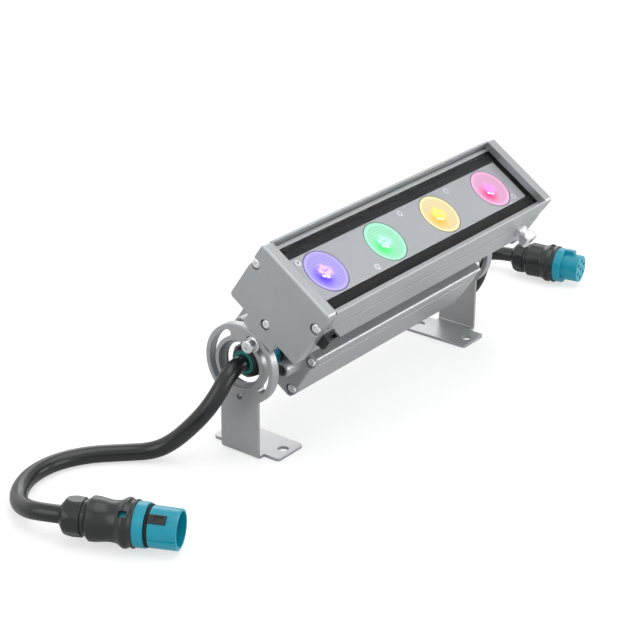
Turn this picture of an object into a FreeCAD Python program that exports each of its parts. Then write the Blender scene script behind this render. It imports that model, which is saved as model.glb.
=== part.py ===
import FreeCAD, Part
import math
import os

from FreeCAD import Vector

# Outdoor wall washer light: an extruded light head over a driver box, hung between two floor brackets
# with slotted rings. Millimetres. X runs along the lamp, Z is up, and the lamp throws its light
# towards -Y when it is tilted. The origin is on the floor, in the middle of the four foot holes.
#
# The lamp itself is drawn upright and then tilted about its axis. Its drawing frame is (x, w, h):
# w is the distance to the front of the tilt axis (w = -y) and h is the height above that axis.

# ---------------------------------------------------------------- driving dimensions
tilt_rest = 33.6            # the lamp leans this many degrees towards -Y as it stands in the photograph
axis_height = 73.8          # height of the tilt axis over the floor
joint_gap = 0.1             # between faces that slide on each other
fit_gap = 0.05              # radial, between a screw and its hole

# brackets
bracket_face = 149.3        # outer face of each bracket, from the middle of the lamp
sheet = 2.4                 # thickness of foot and upright
bend_radius = 1.2           # inside the bend
foot_depth = 37.5
foot_width = 63.1
foot_corner = 3.0
foot_relief = 7.2           # the foot widens this far in from the outer face
foot_hole_radius = 4.25
foot_hole_inset = 22.4      # from the outer face
foot_hole_spacing = 47.9
upright_width = 35.3
ring_radius = 32.0
ring_thickness = 7.6
ring_hole_radius = 19.2
ring_lip_radius = 16.2
ring_lip_thickness = 2.4
ring_chamfer = 0.7
slot_radius = 25.2          # middle of the arc slots
slot_width = 5.6
slot_middle = 14.5          # degrees above level, mirrored for the other slot
slot_half_span = 51.5       # degrees from the middle to the centre of each round end
web_hole_radius = 2.6
web_hole_drop = 26.1        # below the tilt axis

# light head
head_length = 285.0
head_half_width = 36.4
head_top = 98.8
head_bottom = 51.3
head_belly = 0.2            # the side bulges this much above its groove
rim_width = 1.6
rim_inset = 0.7
side_groove_top = 79.6
side_groove_height = 1.8
side_groove_depth = 1.0
glass_top = 92.5
glass_thickness = 3.0
glass_margin = 6.7          # from the side of the head to the edge of the glass
seal_thickness = 1.0
seal_width = 9.1
seal_lip = 0.3              # the shelf starts this far inside the seal's edge
glass_side_gap = 0.2
belly_drop = 8.5            # from the top of the head down to its widest place
lip_width = 2.9             # strip beside the glass
gutter_depth = 2.0          # narrow gutter between that strip and the rim
shelf_thickness = 3.0
wall = 3.8
port_wall = 2.4             # metal between a screw port and the cavity
floor_top = 64.5
floor_thickness = 4.0
chamber_height = 6.0
chamber_web = 2.4
spine_half_width = 15.0
joint_height = 34.4         # where the light head stands on the driver box
spine_wall = 2.6
spine_chamber_height = 7.0

# end caps of the light head
cap_thickness = 10.0
cap_step = 0.3              # the cap is this much narrower than the head on each side
cap_bottom = 43.4
cap_lobe_half_width = 15.5
cap_corner = 3.5
cap_edge = 1.6
cap_screw_inset = 4.1       # from the side of the cap
cap_screw_h = 81.5
cap_screw_low = 49.1
cap_recess_radius = 4.3
cap_recess_depth = 3.6

# driver box
box_length = 205.0
box_half_width = 36.0
box_top = 26.8
box_bottom = -19.7
box_corner = 4.0
box_top_corner = 0.6 * box_corner
box_wall = 3.5
box_groove_drop = 9.1       # from the top of the box to its side groove
box_screw_inset = 4.1       # from the side of the box
box_screw_top = 20.1
box_screw_low = -13.0
box_recess_radius = 4.5
plate_thickness = 10.0
plate_edge = 1.2
boss_radius = 6.2
spare_boss_end = 130.5
spare_boss_angle = 66.0     # degrees either side of the clamping boss
spare_hole_radius = 4.2
spare_hole_depth = 12.0

# screws
screw_radius = 2.0
screw_head_radius = 3.7
screw_head_height = 2.8
screw_socket = 2.5          # across flats
screw_length = 18.0
lock_radius = 2.5
lock_head_radius = 4.8
lock_head_height = 7.0
lock_socket = 4.6
lock_socket_depth = 3.6
lock_thread_in = 14.0
washer_radius = 5.8
washer_thickness = 1.1
small_screw_radius = 1.5
small_head_radius = 2.8
small_head_height = 1.8

# sealing
gasket = 1.0
gasket_inset = 1.8
ring_seal_gap = 0.3

# optics and electronics
lens_count = 4
lens_pitch = 73.4
lens_margin = 1.9           # metal of the reflector plate beside a lens
lens_flange = 1.4
lens_gap = 0.5
lens_foot_radius = 7.0
lens_dimple_radius = 6.5
lens_dimple_depth = 1.2
plate_gap = 0.3             # between the reflector plate and the seals
plate_sheet = 1.5
plate_drop = 0.3            # from the glass down to the reflector plate
plate_screw_inset = 5.2     # from the side of the reflector plate
plate_screw_x = (-127.0, -64.0, 0.0, 64.0, 127.0)
plate_screw_side = (-1, 1, -1, -1, 1)
post_radius = 2.6
board_thickness = 1.6
board_gap = 6.1             # from the circuit board to the side walls
board_end_gap = 3.0
led_half_size = 3.2
led_base = 1.2
led_dome_radius = 2.2
board_screw_inset = 2.9
board_screw_x = (-100.0, 0.0, 100.0)
wire_hole_radius = 5.0
wire_hole_x = 20.0
driver_board_length = 172.0
driver_screw_x = 70.0
join_screw_x = 70.0
core_radius = 1.2
core_spread = 3.4

# cables, glands and plugs
cable_radius = 6.5
hex_flats = 26.0
hex_thickness = 5.5
gland_ring_radius = 14.6
gland_ring_width = 5.6
gland_thread_radius = 10.0
gland_neck_radius = 11.2
gland_neck_width = 4.0
gland_nut_flats = 25.0
gland_nut_width = 16.5
gland_nut_nose = 5.0
gland_mouth_radius = 9.4
gland_seal_out = 0.6
plug_axis_left = 17.5
plug_axis_right = 17.0

# black block and breather on the side faces of the light head
block_x = -135.5
block_h = 69.0
breather_x = 127.0
breather_h = 70.8

box_half = box_length / 2
glass_half_width = head_half_width - glass_margin
seal_inner = glass_half_width - seal_width
cap_half_width = head_half_width - cap_step
cap_screw_w = cap_half_width - cap_screw_inset
box_screw_w = box_half_width - box_screw_inset
plate_half_width = seal_inner - plate_gap
lens_radius = plate_half_width - lens_margin
plate_screw_w = plate_half_width - plate_screw_inset
board_half_width = head_half_width - wall - board_gap
board_screw_w = board_half_width - board_screw_inset
head_half = head_length / 2
plate_face = box_half + plate_thickness
cap_face = head_half + cap_thickness
ring_back = bracket_face - ring_thickness
boss_end = ring_back - joint_gap
side_limit = head_half_width - wall
glass_bottom = glass_top - glass_thickness
shelf_top = glass_bottom - seal_thickness
lip_outer = glass_half_width + glass_side_gap + lip_width
reflector_top = glass_bottom - plate_drop
board_top = floor_top + board_thickness
hex_end = plate_face + hex_thickness
gland_ring_end = hex_end + gland_ring_width
gland_neck_end = gland_ring_end + gland_neck_width
gland_nut_end = gland_neck_end + gland_nut_width
gland_mouth = gland_nut_end + gland_seal_out

# Cable routes, from the gland to the plug, chosen by hand from the photograph. Both cables lie on the
# floor, and the last run of each is in line with its plug.
route_left = [
    (-gland_mouth, 0, axis_height), (-154, 0, axis_height), (-164, -0.5, 69), (-173, 0.5, 58.5),
    (-180.5, 6.5, 45), (-186, 17, 31), (-190, 30, 17), (-197, 43, 8), (-210, 60, 6.5), (-229, 79.5, 6.5),
    (-252, 90.5, 6.5), (-276, 91, 6.5), (-297, 82, 6.5), (-312, 67, 8), (-320.5, 50, 13),
    (-322.7, 33.5, plug_axis_left), (-316, 19, plug_axis_left),
]
route_right = [
    (gland_mouth, 0, axis_height), (164, 0, axis_height), (183, 1, 65), (193, 3, 44), (187, 8, 21),
    (174, 21, 8), (166, 44, 6.5), (174, 67, 6.5), (197, 80, 6.5), (224, 78, 6.5), (248, 69, 8),
    (268, 56, 14), (279.6, 39.8, plug_axis_right), (282, 24, plug_axis_right),
]


# ---------------------------------------------------------------- drawing helpers
def lamp_point(x, w, h):
    return Vector(x, -w, h)


# A closed wire through corners (a, b) or (a, b, radius); place puts a corner in space.
def rounded_wire(corners, place):
    points = [Vector(c[0], c[1], 0) for c in corners]
    radii = [c[2] if len(c) > 2 else 0 for c in corners]
    ends = []
    for i, point in enumerate(points):
        before = (points[i - 1] - point).normalize()
        after = (points[(i + 1) % len(points)] - point).normalize()
        if radii[i] <= 0:
            ends.append((point, None, point))
            continue
        half = before.getAngle(after) / 2
        reach = radii[i] / math.tan(half)
        bisector = (before + after).normalize()
        middle = point + bisector * (radii[i] / math.sin(half) - radii[i])
        ends.append((point + before * reach, middle, point + after * reach))
    edges = []
    for i, (start, middle, finish) in enumerate(ends):
        if middle is not None:
            arc = Part.Arc(place(start.x, start.y), place(middle.x, middle.y), place(finish.x, finish.y))
            edges.append(arc.toShape())
        onward = ends[(i + 1) % len(ends)][0]
        if finish.distanceToPoint(onward) > 1e-6:
            edges.append(Part.LineSegment(place(finish.x, finish.y), place(onward.x, onward.y)).toShape())
    return Part.Wire(edges)


# A prism along X over an outline given in (w, h).
def lamp_prism(corners, x_start, x_end):
    wire = rounded_wire(corners, lambda w, h: lamp_point(x_start, w, h))
    return Part.Face(wire).extrude(Vector(x_end - x_start, 0, 0))


# Half an outline in (w, h), from the top middle round to the bottom middle, closed by its mirror image.
def both_sides(half):
    other = [(-c[0],) + tuple(c[1:]) for c in reversed(half)]
    return list(half) + other


def rectangle(w_half, h_low, h_high, radius=0):
    return both_sides([(w_half, h_high, radius), (w_half, h_low, radius)])


def lamp_rod(x_start, x_end, w, h, radius):
    low, high = min(x_start, x_end), max(x_start, x_end)
    return Part.makeCylinder(radius, high - low, lamp_point(low, w, h), Vector(1, 0, 0))


def lamp_box(x_low, x_high, w_low, w_high, h_low, h_high):
    corner = Vector(x_low, -w_high, h_low)
    return Part.makeBox(x_high - x_low, w_high - w_low, h_high - h_low, corner)


def upright_rod(x, w, h_low, h_high, radius):
    return Part.makeCylinder(radius, h_high - h_low, lamp_point(x, w, h_low), Vector(0, 0, 1))


# A prism with flats all round, from start along direction.
def flats_prism(start, direction, length, across_flats, sides=6, turn=0.0):
    radius = across_flats / 2 / math.cos(math.pi / sides)
    points = []
    for i in range(sides):
        angle = math.radians(turn) + 2 * math.pi * (i + 0.5) / sides
        points.append(Vector(radius * math.cos(angle), radius * math.sin(angle), 0))
    wire = Part.makePolygon(points + points[:1])
    prism = Part.Face(wire).extrude(Vector(0, 0, length))
    prism.Placement = FreeCAD.Placement(start, FreeCAD.Rotation(Vector(0, 0, 1), direction))
    return prism


# A body turned about the X axis from a profile of (x, radius) corners that starts and ends on the axis.
def turned(corners):
    wire = rounded_wire(corners, lambda x, radius: Vector(x, 0, radius))
    return Part.Face(wire).revolve(Vector(0, 0, 0), Vector(1, 0, 0), 360)


def cut_all(shape, tools):
    return shape.cut(Part.makeCompound(tools)) if tools else shape


def other_end(shape):
    return shape.mirror(Vector(0, 0, 0), Vector(1, 0, 0))


# Puts a piece drawn in the lamp frame at its tilted place over the floor.
def hang(shape):
    placed = shape.copy()
    placed.rotate(Vector(0, 0, 0), Vector(1, 0, 0), tilt_rest)
    placed.translate(Vector(0, 0, axis_height))
    return placed


parts = {}


def keep(name, *solids):
    parts[name] = solids[0] if len(solids) == 1 else Part.makeCompound(list(solids))


def keep_lamp(name, *solids):
    keep(name, *[hang(solid) for solid in solids])


# ---------------------------------------------------------------- brackets
# Point on the slotted ring: angle from +Y towards +Z about the tilt axis.
def ring_point(x, radius, degrees):
    angle = math.radians(degrees)
    return Vector(x, radius * math.cos(angle), axis_height + radius * math.sin(angle))


def arc_slot(middle):
    start, finish = middle - slot_half_span, middle + slot_half_span
    outer, inner = slot_radius + slot_width / 2, slot_radius - slot_width / 2
    x = ring_back - sheet
    end_turn = math.degrees(slot_width / 2 / slot_radius)
    edges = [
        Part.Arc(ring_point(x, outer, start), ring_point(x, outer, middle), ring_point(x, outer, finish)),
        Part.Arc(ring_point(x, outer, finish), ring_point(x, slot_radius, finish + end_turn),
                 ring_point(x, inner, finish)),
        Part.Arc(ring_point(x, inner, finish), ring_point(x, inner, middle), ring_point(x, inner, start)),
        Part.Arc(ring_point(x, inner, start), ring_point(x, slot_radius, start - end_turn),
                 ring_point(x, outer, start)),
    ]
    face = Part.Face(Part.Wire([edge.toShape() for edge in edges]))
    return face.extrude(Vector(ring_thickness + 2 * sheet, 0, 0))


def make_bracket():
    centre = Vector(ring_back, 0, axis_height)
    along = Vector(1, 0, 0)
    ring = Part.makeCylinder(ring_radius, ring_thickness, centre, along)
    ring = ring.makeChamfer(ring_chamfer, [e for e in ring.Edges if isinstance(e.Curve, Part.Circle)])

    upright_top = axis_height - (ring_hole_radius + ring_radius) / 2
    inner = bracket_face - sheet
    foot_tip = bracket_face - foot_depth
    side = [
        (bracket_face, 0, bend_radius + sheet), (bracket_face, upright_top), (inner, upright_top),
        (inner, sheet, bend_radius), (foot_tip, sheet), (foot_tip, 0),
    ]
    wire = rounded_wire(side, lambda x, z: Vector(x, -upright_width / 2, z))
    angle = Part.Face(wire).extrude(Vector(0, upright_width, 0))

    foot_start = bracket_face - foot_relief
    half = foot_width / 2
    plan = [
        (foot_tip, -half, foot_corner), (foot_start, -half, foot_corner),
        (foot_start, half, foot_corner), (foot_tip, half, foot_corner),
    ]
    foot = Part.Face(rounded_wire(plan, lambda x, y: Vector(x, y, 0))).extrude(Vector(0, 0, sheet))
    bracket = angle.fuse([foot, ring]).removeSplitter()

    hole_x = bracket_face - foot_hole_inset
    tools = [
        Part.makeCylinder(ring_lip_radius, 3 * ring_thickness, centre - along * ring_thickness, along),
        Part.makeCylinder(ring_hole_radius, ring_thickness, centre + along * ring_lip_thickness, along),
        Part.makeCylinder(web_hole_radius, 3 * ring_thickness,
                          Vector(ring_back - ring_thickness, 0, axis_height - web_hole_drop), along),
        arc_slot(slot_middle), arc_slot(180 - slot_middle),
    ]
    for y in (-foot_hole_spacing / 2, foot_hole_spacing / 2):
        tools.append(Part.makeCylinder(foot_hole_radius, 3 * sheet, Vector(hole_x, y, -sheet)))
    return cut_all(bracket, tools)


bracket = make_bracket()
keep("bracket_right", bracket)
keep("bracket_left", other_end(bracket))


# ---------------------------------------------------------------- light head housing
def make_head_housing():
    rim_outer = head_half_width - rim_inset
    rim_inner = rim_outer - rim_width
    groove_low = side_groove_top - side_groove_height
    groove_w = head_half_width - side_groove_depth
    port_inner = cap_screw_w - screw_radius - port_wall
    port_reach = screw_radius + port_wall
    lip_inner = glass_half_width + glass_side_gap
    shelf_low = shelf_top - shelf_thickness
    half = [
        (seal_inner + seal_lip, shelf_top), (lip_inner, shelf_top), (lip_inner, glass_top, 0.3),
        (lip_outer, glass_top, 0.3), (lip_outer, glass_top - gutter_depth),
        (rim_inner, glass_top - gutter_depth), (rim_inner, head_top, 0.5), (rim_outer, head_top, 0.5),
        (head_half_width + head_belly, head_top - belly_drop, 30), (head_half_width, side_groove_top),
        (groove_w, side_groove_top), (groove_w, groove_low), (head_half_width, groove_low),
        (head_half_width, head_bottom, 1.5), (spine_half_width, head_bottom, 1.5),
        (spine_half_width, joint_height),
    ]
    inner = [
        (seal_inner + seal_lip, shelf_low), (port_inner, shelf_low), (port_inner, cap_screw_h - port_reach),
        (side_limit, cap_screw_h - port_reach), (side_limit, floor_top, 1.0),
    ]
    # the outline runs down the right side, back up the left side and through the open cavity
    left = [(-c[0],) + tuple(c[1:]) for c in reversed(half)]
    cavity = [(-c[0],) + tuple(c[1:]) for c in inner] + list(reversed(inner))
    body = lamp_prism(half + left + cavity, -head_half, head_half)

    length_from, length_to = -head_half - 1, head_half + 1
    chamber_top = floor_top - floor_thickness
    chamber_low = chamber_top - chamber_height
    tools = []
    cell = (2 * side_limit - 2 * chamber_web) / 3
    for i in range(3):
        left_w = -side_limit + i * (cell + chamber_web)
        corners = [(left_w, chamber_top, 1.0), (left_w + cell, chamber_top, 1.0),
                   (left_w + cell, chamber_low, 1.0), (left_w, chamber_low, 1.0)]
        tools.append(lamp_prism(corners, length_from, length_to))
    spine_inner = spine_half_width - spine_wall
    spine_low = joint_height + spine_wall
    tools.append(lamp_prism(rectangle(spine_inner, spine_low, spine_low + spine_chamber_height, 1.0),
                            length_from, length_to))
    for w, h in cap_screw_places():
        tools.append(lamp_rod(length_from, length_to, w, h, screw_radius + fit_gap))
    tools.append(upright_rod(wire_hole_x, 0, joint_height - 1, floor_top + 1, wire_hole_radius))
    for x in (-join_screw_x, join_screw_x):
        tools.append(upright_rod(x, 0, joint_height - 1, spine_low + 1, screw_radius + fit_gap))
    for x, w in board_screw_places():
        tools.append(upright_rod(x, w, chamber_top - 1, floor_top + 1, small_screw_radius + fit_gap))
    for x, w in plate_screw_places():
        tools.append(upright_rod(x, w, chamber_top - 1, floor_top + 1, small_screw_radius + fit_gap))
    tools.append(side_hole(block_x, block_h, 2.5, 1))
    tools.append(side_hole(breather_x, breather_h, 4.0 + fit_gap, 1))
    return cut_all(body, tools)


def cap_screw_places():
    return [(-cap_screw_w, cap_screw_h), (cap_screw_w, cap_screw_h), (0, cap_screw_low)]


def board_screw_places():
    return [(x, side * board_screw_w) for x in board_screw_x for side in (-1, 1)]


def plate_screw_places():
    return [(x, side * plate_screw_w) for x, side in zip(plate_screw_x, plate_screw_side)]


# A hole through the front side wall of the light head.
def side_hole(x, h, radius, past):
    start = lamp_point(x, side_limit - past, h)
    return Part.makeCylinder(radius, wall + 2 * past, start, Vector(0, -1, 0))


keep_lamp("head_housing", make_head_housing())


# ---------------------------------------------------------------- end caps, their gaskets and screws
def cap_outline():
    return both_sides([
        (cap_half_width, head_top, cap_corner), (cap_half_width, cap_bottom, cap_corner),
        (cap_lobe_half_width, cap_bottom, 1.5), (cap_lobe_half_width, joint_height, 2.0),
    ])


def edges_at(shape, x):
    box_tolerance = 1e-4
    return [e for e in shape.Edges
            if abs(e.BoundBox.XMin - x) < box_tolerance and abs(e.BoundBox.XMax - x) < box_tolerance]


# A round pocket for a screw head that opens to the nearest side edge.
def side_pocket(face, w, h, radius, depth, edge_w):
    tools = lamp_rod(face - depth, face + 1, w, h, radius)
    if w == 0:
        return [tools]
    low, high = sorted([w, math.copysign(edge_w + 1, w)])
    return [tools, lamp_box(face - depth, face + 1, low, high, h - radius, h + radius)]


def cap_gasket_outline(shrink=0.0):
    inner = cap_half_width - gasket_inset - shrink
    tongue = spine_half_width - gasket_inset - shrink
    low = head_bottom + gasket_inset + shrink
    return both_sides([
        (inner, glass_top - shrink, 1.0), (inner, low, 1.0), (tongue, low, 1.0),
        (tongue, cap_screw_low - screw_radius - 2.2 + shrink, 1.0),
    ])


def make_cap():
    cap = lamp_prism(cap_outline(), head_half, cap_face)
    cap = cap.makeFillet(cap_edge, edges_at(cap, cap_face))
    tools = [lamp_prism(cap_gasket_outline(-0.05), head_half - 1, head_half + gasket)]
    for w, h in cap_screw_places():
        tools += side_pocket(cap_face, w, h, cap_recess_radius, cap_recess_depth, cap_half_width)
        tools.append(lamp_rod(head_half - 1, cap_face, w, h, screw_radius + fit_gap))
    return cut_all(cap, tools)


def make_cap_gasket():
    sheet_body = lamp_prism(cap_gasket_outline(), head_half, head_half + gasket)
    holes = [lamp_rod(head_half - 1, head_half + 2, w, h, screw_radius + fit_gap)
             for w, h in cap_screw_places()]
    return cut_all(sheet_body, holes)


# A pan head screw with a hexagon socket; it enters along -X with the underside of its head at x.
def end_screw(x, w, h):
    shank = lamp_rod(x - screw_length, x, w, h, screw_radius)
    start = lamp_point(x, w, h)
    head = Part.makeCylinder(screw_head_radius, screw_head_height, start, Vector(1, 0, 0))
    crown = [e for e in head.Edges if abs(e.BoundBox.XMin - x - screw_head_height) < 1e-4]
    head = head.makeFillet(screw_head_height * 0.45, crown[:1])
    socket = flats_prism(start + Vector(screw_head_height * 0.4, 0, 0), Vector(1, 0, 0),
                         screw_head_height, screw_socket)
    return shank.fuse(head).cut(socket)


cap = make_cap()
cap_gasket = make_cap_gasket()
cap_screws = [end_screw(cap_face - cap_recess_depth, w, h) for w, h in cap_screw_places()]
keep_lamp("end_cap_right", cap)
keep_lamp("end_cap_left", other_end(cap))
keep_lamp("cap_gasket_right", cap_gasket)
keep_lamp("cap_gasket_left", other_end(cap_gasket))
keep_lamp("cap_screws", *(cap_screws + [other_end(s) for s in cap_screws]))


# ---------------------------------------------------------------- driver box
def box_screw_places():
    return [(side * box_screw_w, h) for side in (-1, 1) for h in (box_screw_top, box_screw_low)]


def box_outline(top_radius):
    return both_sides([
        (spine_half_width, joint_height, top_radius), (spine_half_width, box_top, 1.5),
        (box_half_width, box_top, box_top_corner), (box_half_width, box_bottom, box_corner),
    ])


def make_driver_housing():
    groove_top = box_top - box_groove_drop
    groove_low = groove_top - side_groove_height
    groove_w = box_half_width - side_groove_depth
    outline = both_sides([
        (spine_half_width, joint_height), (spine_half_width, box_top, 1.5),
        (box_half_width, box_top, box_top_corner), (box_half_width, groove_top),
        (groove_w, groove_top), (groove_w, groove_low), (box_half_width, groove_low),
        (box_half_width, box_bottom, box_corner),
    ])
    body = lamp_prism(outline, -box_half, box_half)
    port_reach = screw_radius + port_wall
    port_inner = box_screw_w - port_reach
    side_w = box_half_width - box_wall
    ceiling = box_top - box_wall
    ground = box_bottom + box_wall
    cavity = both_sides([
        (port_inner, ceiling, 1.0), (port_inner, box_screw_top - port_reach),
        (side_w, box_screw_top - port_reach), (side_w, box_screw_low + port_reach),
        (port_inner, box_screw_low + port_reach), (port_inner, ground, 1.0),
    ])
    tools = [lamp_prism(cavity, -box_half - 1, box_half + 1)]
    for w, h in box_screw_places():
        tools.append(lamp_rod(-box_half - 1, box_half + 1, w, h, screw_radius + fit_gap))
    tools.append(upright_rod(wire_hole_x, 0, ceiling - 1, joint_height + 1, wire_hole_radius))
    for x in (-join_screw_x, join_screw_x):
        tools.append(upright_rod(x, 0, ceiling - 1, joint_height + 1, screw_radius + fit_gap))
    for x, w in driver_screw_places():
        tools.append(upright_rod(x, w, driver_board_low() - 6, driver_board_low() + 1,
                                 small_screw_radius + fit_gap))
    return cut_all(body, tools)


def driver_board_low():
    return box_screw_low + screw_radius + port_wall


def driver_screw_places():
    w = box_half_width - box_wall - small_head_radius
    return [(x, side * w) for x in (-driver_screw_x, driver_screw_x) for side in (-1, 1)]


def box_gasket_frame(slack=0.0):
    outer_w = box_half_width - gasket_inset + slack
    outer = rectangle(outer_w, box_bottom + gasket_inset - slack, box_top - gasket_inset + slack,
                      box_top_corner)
    reach = screw_radius + port_wall + 1.6
    inner = rectangle(box_screw_w - reach - slack, box_screw_low + reach / 2 + slack,
                      box_screw_top - reach / 2 - slack, 1.0)
    frame = lamp_prism(outer, box_half, box_half + gasket)
    return frame.cut(lamp_prism(inner, box_half - 1, box_half + gasket + 1))


# The bosses on an end plate: one for the lock screw and a spare one on each side of it.
def boss_places():
    places = [(0.0, slot_radius, boss_end)]
    for side in (-1, 1):
        angle = math.radians(spare_boss_angle) * side
        places.append((slot_radius * math.sin(angle), slot_radius * math.cos(angle), spare_boss_end))
    return places


def make_box_plate():
    plate = lamp_prism(box_outline(2.0), box_half, plate_face)
    plate = plate.makeFillet(plate_edge, edges_at(plate, plate_face))
    bosses = [lamp_rod(plate_face - 1, end, w, h, boss_radius) for w, h, end in boss_places()]
    plate = plate.fuse(bosses).removeSplitter()
    tools = [box_gasket_frame(0.05)]
    for w, h in box_screw_places():
        tools += side_pocket(plate_face, w, h, box_recess_radius, cap_recess_depth, box_half_width)
        tools.append(lamp_rod(box_half - 1, plate_face, w, h, screw_radius + fit_gap))
    for w, h, end in boss_places():
        if w == 0:
            tools.append(lamp_rod(end - lock_thread_in - 2, end + 1, w, h, lock_radius + fit_gap))
        else:
            tools.append(lamp_rod(end - spare_hole_depth, end + 1, w, h, spare_hole_radius))
    tools.append(lamp_rod(box_half - 1, plate_face + 1, 0, 0, gland_thread_radius + fit_gap))
    return cut_all(plate, tools)


def make_box_gasket():
    holes = [lamp_rod(box_half - 1, box_half + 2, w, h, screw_radius + fit_gap)
             for w, h in box_screw_places()]
    return cut_all(box_gasket_frame(), holes)


box_plate = make_box_plate()
box_gasket = make_box_gasket()
box_screws = [end_screw(plate_face - cap_recess_depth, w, h) for w, h in box_screw_places()]
keep_lamp("driver_housing", make_driver_housing())
keep_lamp("box_plate_right", box_plate)
keep_lamp("box_plate_left", other_end(box_plate))
keep_lamp("box_gasket_right", box_gasket)
keep_lamp("box_gasket_left", other_end(box_gasket))
keep_lamp("box_screws", *(box_screws + [other_end(s) for s in box_screws]))


# ---------------------------------------------------------------- lock screws and washers
def make_lock_screw():
    seat = bracket_face + joint_gap + washer_thickness
    along = Vector(1, 0, 0)
    head = Part.makeCylinder(lock_head_radius, lock_head_height, lamp_point(seat, 0, slot_radius), along)
    head = head.makeFillet(0.6, [e for e in head.Edges if isinstance(e.Curve, Part.Circle)
                                 and e.BoundBox.XMin > seat + 1])
    shank = lamp_rod(boss_end - lock_thread_in, seat, 0, slot_radius, lock_radius)
    socket_start = lamp_point(seat + lock_head_height - lock_socket_depth, 0, slot_radius)
    socket = flats_prism(socket_start, along, lock_socket_depth + 1, lock_socket)
    return shank.fuse(head).cut(socket)


def make_lock_washer():
    start = bracket_face + joint_gap
    disc = lamp_rod(start, start + washer_thickness, 0, slot_radius, washer_radius)
    return disc.cut(lamp_rod(start - 1, start + 3, 0, slot_radius, lock_radius + fit_gap))


lock_screw = make_lock_screw()
lock_washer = make_lock_washer()
keep_lamp("lock_screws", lock_screw, other_end(lock_screw))
keep_lamp("lock_washers", lock_washer, other_end(lock_washer))


# ---------------------------------------------------------------- glass, seal, reflector plate, lenses
def make_glass():
    return lamp_prism(rectangle(glass_half_width, glass_bottom, glass_top, 0.4), -head_half, head_half)


def make_seal_strips():
    strips = []
    for side in (-1, 1):
        low, high = sorted([side * seal_inner, side * glass_half_width])
        strips.append(lamp_box(-head_half, head_half, low, high, shelf_top, glass_bottom))
    return strips


def lens_places():
    first = -(lens_count - 1) / 2
    return [(first + i) * lens_pitch for i in range(lens_count)]


def make_reflector_plate():
    half_length = head_half - board_end_gap
    inner = plate_half_width - plate_sheet
    outline = [
        (-plate_half_width, reflector_top, 1.0), (plate_half_width, reflector_top, 1.0),
        (plate_half_width, board_top), (inner, board_top), (inner, reflector_top - plate_sheet),
        (-inner, reflector_top - plate_sheet), (-inner, board_top), (-plate_half_width, board_top),
    ]
    tray = lamp_prism(outline, -half_length, half_length)
    tools = []
    for x in lens_places():
        tools.append(upright_rod(x, 0, reflector_top - 3 * plate_sheet, reflector_top + 1,
                                 lens_radius + lens_gap))
    for x, w in plate_screw_places():
        tools.append(countersink(x, w, small_head_radius + fit_gap, small_screw_radius + fit_gap))
    return cut_all(tray, tools)


# The cone and hole of a countersunk screw in the reflector plate.
def countersink(x, w, top_radius, low_radius):
    return Part.makeCone(low_radius, top_radius, plate_sheet,
                         lamp_point(x, w, reflector_top - plate_sheet), Vector(0, 0, 1))


def plate_screw(x, w):
    cone = countersink(x, w, small_head_radius, small_screw_radius)
    shank = upright_rod(x, w, reflector_top - plate_sheet - 8, reflector_top - plate_sheet,
                        small_screw_radius)
    socket = flats_prism(lamp_point(x, w, reflector_top - 1.0), Vector(0, 0, 1), 2, 1.8)
    return cone.fuse(shank).cut(socket)


def plate_post(x, w):
    top = reflector_top - plate_sheet
    post = flats_prism(lamp_point(x, w, board_top), Vector(0, 0, 1), top - board_top, 2 * post_radius)
    stud = upright_rod(x, w, floor_top - floor_thickness + 0.5, board_top, small_screw_radius)
    hole = upright_rod(x, w, top - 9, top + 1, small_screw_radius + fit_gap)
    return post.fuse(stud).cut(hole)


# A collimating lens: flange, curved side, cup over the LED and a shallow dimple in its face.
def make_lens(x):
    top = reflector_top
    flange_low = top - lens_flange
    profile = [
        (0, top - lens_dimple_depth), (lens_dimple_radius * 0.5, top - lens_dimple_depth, 2.0),
        (lens_dimple_radius, top, 2.0), (lens_radius, top), (lens_radius, flange_low),
        (lens_radius - 1.6, flange_low), (lens_radius * 0.66, board_top + 9.5, 22),
        (lens_foot_radius, board_top), (lens_foot_radius - 2.2, board_top),
        (lens_foot_radius - 2.6, board_top + 5.0, 1.0), (0, board_top + 5.8),
    ]
    wire = rounded_wire(profile, lambda radius, h: Vector(radius, 0, h))
    lens = Part.Face(wire).revolve(Vector(0, 0, 0), Vector(0, 0, 1), 360)
    lens.translate(Vector(x, 0, 0))
    return lens


def make_led(x):
    size = 2 * led_half_size
    base = Part.makeBox(size, size, led_base, Vector(x - led_half_size, -led_half_size, board_top))
    dome = Part.makeSphere(led_dome_radius, lamp_point(x, 0, board_top + led_base), Vector(0, 0, 1), 0, 90)
    return base.fuse(dome)


def make_led_board():
    half_length = head_half - board_end_gap
    board = lamp_box(-half_length, half_length, -board_half_width, board_half_width, floor_top, board_top)
    tools = [upright_rod(x, w, floor_top - 1, board_top + 1, small_screw_radius + fit_gap)
             for x, w in board_screw_places() + plate_screw_places()]
    return cut_all(board, tools)


def pan_screw(x, w, seat, length):
    head = upright_rod(x, w, seat, seat + small_head_height, small_head_radius)
    head = head.makeFillet(small_head_height * 0.4, [e for e in head.Edges
                                                     if e.BoundBox.ZMin > seat + 1e-3
                                                     and isinstance(e.Curve, Part.Circle)])
    return head.fuse(upright_rod(x, w, seat - length, seat, small_screw_radius))


keep_lamp("front_glass", make_glass())
keep_lamp("glass_seal", *make_seal_strips())
keep_lamp("reflector_plate", make_reflector_plate())
keep_lamp("plate_screws", *[plate_screw(x, w) for x, w in plate_screw_places()])
keep_lamp("plate_posts", *[plate_post(x, w) for x, w in plate_screw_places()])
for number, lens_x in enumerate(lens_places(), 1):
    keep_lamp("lens_%d" % number, make_lens(lens_x))
keep_lamp("leds", *[make_led(x) for x in lens_places()])
keep_lamp("led_board", make_led_board())
keep_lamp("board_screws", *[pan_screw(x, w, board_top, board_thickness + floor_thickness - 0.5)
                            for x, w in board_screw_places()])


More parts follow.
